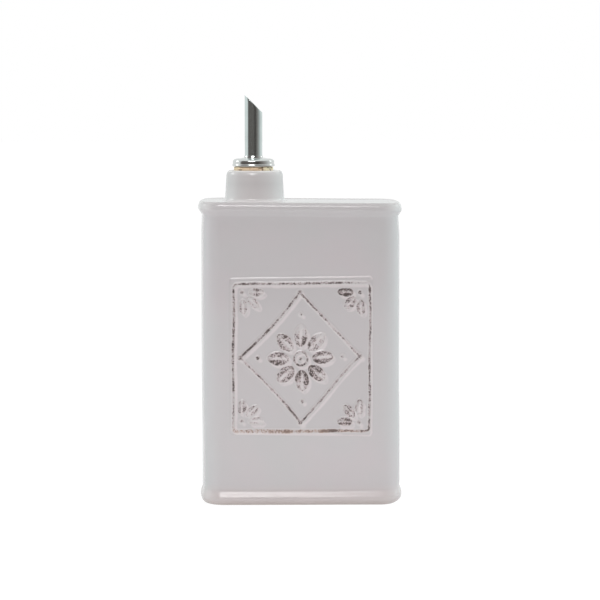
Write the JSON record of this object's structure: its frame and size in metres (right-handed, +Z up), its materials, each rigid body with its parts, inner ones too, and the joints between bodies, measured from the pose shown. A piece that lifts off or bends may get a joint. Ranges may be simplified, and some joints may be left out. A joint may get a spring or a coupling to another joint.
{
  "type": "olive oil can",
  "caption": "Glazed ceramic oil can with flat walls, a short side neck and a corked steel pourer that turns and lifts out.",
  "frame": {"origin": "on the surface that the can stands on, under the middle of the can", "axes": "+X to the right across the wide front, with the neck left of the middle; +Y to the back, with the raised panel facing -Y; +Z up"},
  "size_m": [0.1078, 0.064, 0.2136],
  "materials": {
    "glaze": "glossy, warm greige",
    "cork": "natural cork, sanded",
    "polished_steel": "polished stainless steel",
    "drawn_steel": "drawn stainless tube, satin"
  },
  "bodies": {
    "can": {"can_body": "glaze"},
    "stopper": {"cork_stopper": "cork"},
    "spout": {"pour_tube": "polished_steel", "collar": "polished_steel", "breather_tube": "drawn_steel"}
  },
  "joints": [
    {"name": "stopper_pull", "type": "slide", "parent": "can", "child": "stopper", "axis": [0, 0, 1], "range_m": [0, 0.06]},
    {"name": "spout_turn", "type": "hinge", "parent": "stopper", "child": "spout", "pos_m": [-0.0245, 0, 0.174], "axis": [0, 0, 1], "continuous": true}
  ]
}
